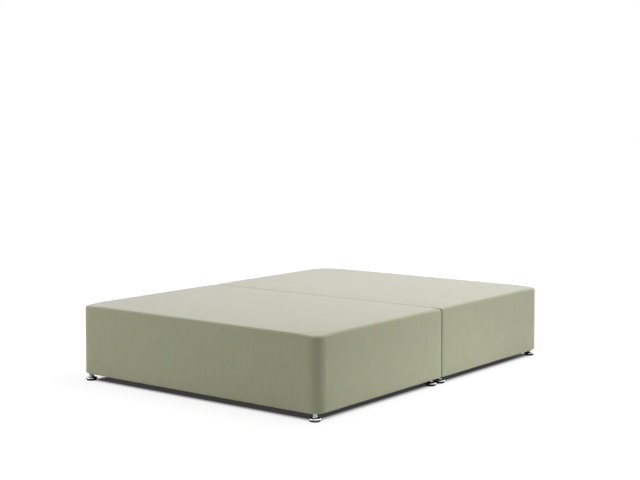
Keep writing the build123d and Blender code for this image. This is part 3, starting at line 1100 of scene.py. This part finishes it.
class DIVAN_OT_stage(Operator):
    """Sets up the pale floor, the soft studio lights and the camera"""

    bl_idname = "divan.stage"
    bl_label = "Stage"

    def execute(self, context):
        stage = context.scene.divan_stage
        context.scene.view_settings.view_transform = "Standard"
        self.lay_floor(stage)
        self.light_room(context.scene, stage)
        centre = (Vector(CAD_BOX[0]) + Vector(CAD_BOX[1])) / 2
        for name, (place, size) in LIGHTS.items():
            strength = getattr(stage, f"{name.lower().replace(' ', '_')}_power")
            self.hang_light(name, place, size, strength, centre)
        camera = bpy.data.objects.new("Camera", bpy.data.cameras.new("Camera"))
        camera.location = stage.camera_place
        camera.rotation_euler = (pi / 2 - stage.camera_dip, 0, stage.camera_turn)
        camera.data.lens = stage.lens
        camera.data.shift_y = stage.shift
        context.scene.collection.objects.link(camera)
        context.scene.camera = camera
        return {"FINISHED"}

    def lay_floor(self, stage):
        """A pale floor that glows softly for the camera, all but close round the base, where the glow leaves a
        painted contact shadow.
        """
        material, tree, shader = new_finish("Studio floor")
        apart = add_node(tree, "ShaderNodeSeparateXYZ", {0: object_coords(tree)}).outputs
        path = add_node(tree, "ShaderNodeLightPath", {}).outputs
        seen = path["Is Camera Ray"]
        # What the camera sees of the floor is mostly its painted glow, dark in a painted contact shadow round the
        # base. Chrome shows the floor dark, a painted dark reflection, but for the part in front of the foot
        # half's right corner.
        front = math_node(tree, "SUBTRACT", apart[0], apart[1])
        # Painted dark reflection: chrome sees the floor dark, but for the part in front of the foot half's right
        # corner
        painted_dark_reflection = between(tree, front, *CHROME_PAINTED_DARK)
        less = math_node(tree, "MULTIPLY", painted_dark_reflection, path["Is Glossy Ray"])
        less = math_node(tree, "MULTIPLY_ADD", seen, CAMERA_LOSS, less)
        lit = math_node(tree, "SUBTRACT", 1.0, less)
        # How far outside the painted shadow's outline, which stays where the base stands at rest
        beyond = []
        for axis, middle, inside in PAINTED_SHADOW_LINE:
            place = math_node(tree, "ABSOLUTE", math_node(tree, "SUBTRACT", apart[axis], middle))
            beyond.append(math_node(tree, "SUBTRACT", place, CAD_BOX[1][axis] - inside))
        away = math_node(tree, "MAXIMUM", *beyond)
        near, far = (between(tree, away, *glow) for glow in (PAINTED_SHADOW_EDGE, OPEN_GLOW))
        set_inputs(tree, shader, {
            "Base Color": mix_colours(tree, lit, rgba((0, 0, 0)), rgba(stage.floor_colour)),
            "Roughness": 0.9,
            "Specular IOR Level": 0.1,
            "Emission Color": rgba((1, 1, 1)),
            "Emission Strength": math_node(
                tree, "MULTIPLY", math_node(tree, "ADD", near, far), seen
            ),
        })
        form = bmesh.new()
        bmesh.ops.create_grid(form, x_segments=1, y_segments=1, size=40)
        floor = new_piece("studio_floor", form, material)

    def light_room(self, scene, stage):
        """White where the camera sees it, and a low even light on everything else."""
        world = scene.world or bpy.data.worlds.new("Studio")
        scene.world = world
        world.use_nodes = True
        tree = world.node_tree
        tree.nodes.clear()
        white = add_node(tree, "ShaderNodeBackground", {"Color": rgba((1, 1, 1))})
        low = add_node(tree, "ShaderNodeBackground", {
            "Color": rgba((1, 1, 1)), "Strength": stage.room_light,
        })
        path = add_node(tree, "ShaderNodeLightPath", {}).outputs
        seen = math_node(tree, "MAXIMUM", path["Is Camera Ray"], path["Is Glossy Ray"])
        mixed = add_node(tree, "ShaderNodeMixShader", {
            0: seen, 1: low.outputs[0], 2: white.outputs[0],
        })
        add_node(tree, "ShaderNodeOutputWorld", {"Surface": mixed.outputs[0]})

    def hang_light(self, name, place, size, strength, target):
        lamp = bpy.data.lights.new(name, "AREA")
        lamp.shape = "RECTANGLE"
        lamp.size, lamp.size_y = size
        lamp.energy = strength
        light = bpy.data.objects.new(name, lamp)
        light.visible_camera = False
        light.location = place
        light.rotation_euler = (target - light.location).to_track_quat("-Z", "Y").to_euler()
        bpy.context.scene.collection.objects.link(light)


class DIVAN_PT_base(Panel):
    bl_idname = "DIVAN_PT_base"
    bl_label = "Divan Base"
    bl_space_type = "VIEW_3D"
    bl_region_type = "UI"
    bl_category = "Divan Base"

    def draw(self, context):
        for operator in OPERATORS:
            self.layout.operator(operator.bl_idname)


SETTINGS = {
    "divan_upholstery": DivanUpholstery,
    "divan_glides": DivanGlides,
    "divan_timber": DivanTimber,
    "divan_stage": DivanStage,
}
OPERATORS = (
    DIVAN_OT_covers,
    DIVAN_OT_wadding,
    DIVAN_OT_dust_covers,
    DIVAN_OT_glides,
    DIVAN_OT_timber,
    DIVAN_OT_fixings,
    DIVAN_OT_stage,
)
CLASSES = (*SETTINGS.values(), *OPERATORS, DIVAN_PT_base)


def register():
    for cls in CLASSES:
        bpy.utils.register_class(cls)
    for name, settings in SETTINGS.items():
        setattr(bpy.types.Scene, name, PointerProperty(type=settings))


def unregister():
    for name in SETTINGS:
        delattr(bpy.types.Scene, name)
    for cls in reversed(CLASSES):
        bpy.utils.unregister_class(cls)


def main():
    register()
    bpy.ops.divan.covers()
    bpy.ops.divan.wadding()
    bpy.ops.divan.dust_covers()
    bpy.ops.divan.glides()
    bpy.ops.divan.timber()
    bpy.ops.divan.fixings()
    bpy.ops.divan.stage()


if __name__ == "__main__":
    main()
